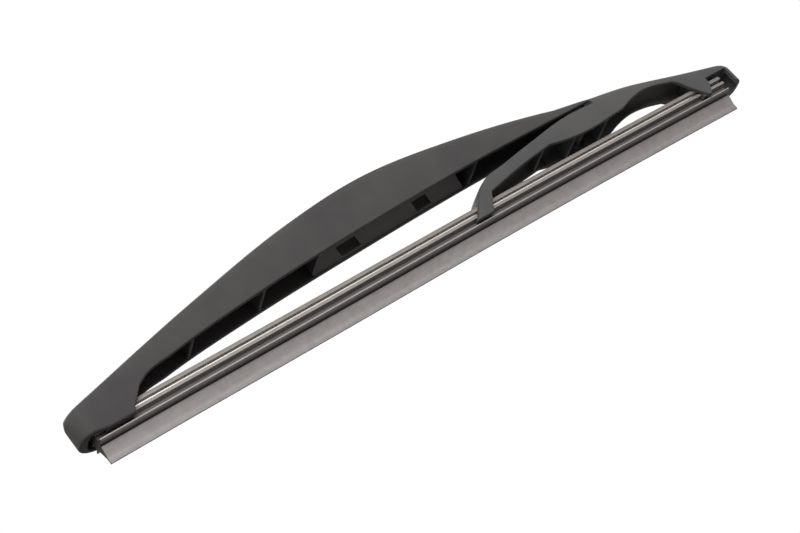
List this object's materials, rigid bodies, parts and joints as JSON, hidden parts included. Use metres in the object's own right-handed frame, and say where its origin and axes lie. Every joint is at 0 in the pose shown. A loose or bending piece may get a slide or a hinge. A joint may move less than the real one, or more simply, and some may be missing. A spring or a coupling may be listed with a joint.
{
  "type": "wiper blade",
  "caption": "Rear window wiper blade: an arched moulded yoke with a rocking lever under one end grips a rubber refill on steel strips, and a wiper arm hooks on a pin in its back.",
  "frame": {"origin": "middle of the pin in the yoke's back that the wiper arm hooks on", "axes": "+X along the blade towards the end with the rocking lever, +Z away from the glass, Y across the blade along the arm pin"},
  "size_m": [0.262, 0.0166, 0.0397],
  "materials": {
    "yoke_plastic": "fine mould texture",
    "lever_plastic": "fine mould texture",
    "rubber": "graphite dusted",
    "flexor_steel": "rolled strip"
  },
  "bodies": {
    "yoke": {"main_yoke": "yoke_plastic", "rubber": "rubber", "flexor_near": "flexor_steel", "flexor_far": "flexor_steel"},
    "rocking_lever": {"lever": "lever_plastic"}
  },
  "joints": [
    {"name": "lever_pivot", "type": "hinge", "parent": "yoke", "child": "rocking_lever", "pos_m": [0.078, 0, -0.0112], "axis": [0, 1, 0], "range_deg": [-4, 4], "stiffness_Nm_per_rad": 0.8, "deforming": ["rubber", "flexor_near", "flexor_far"]}
  ]
}
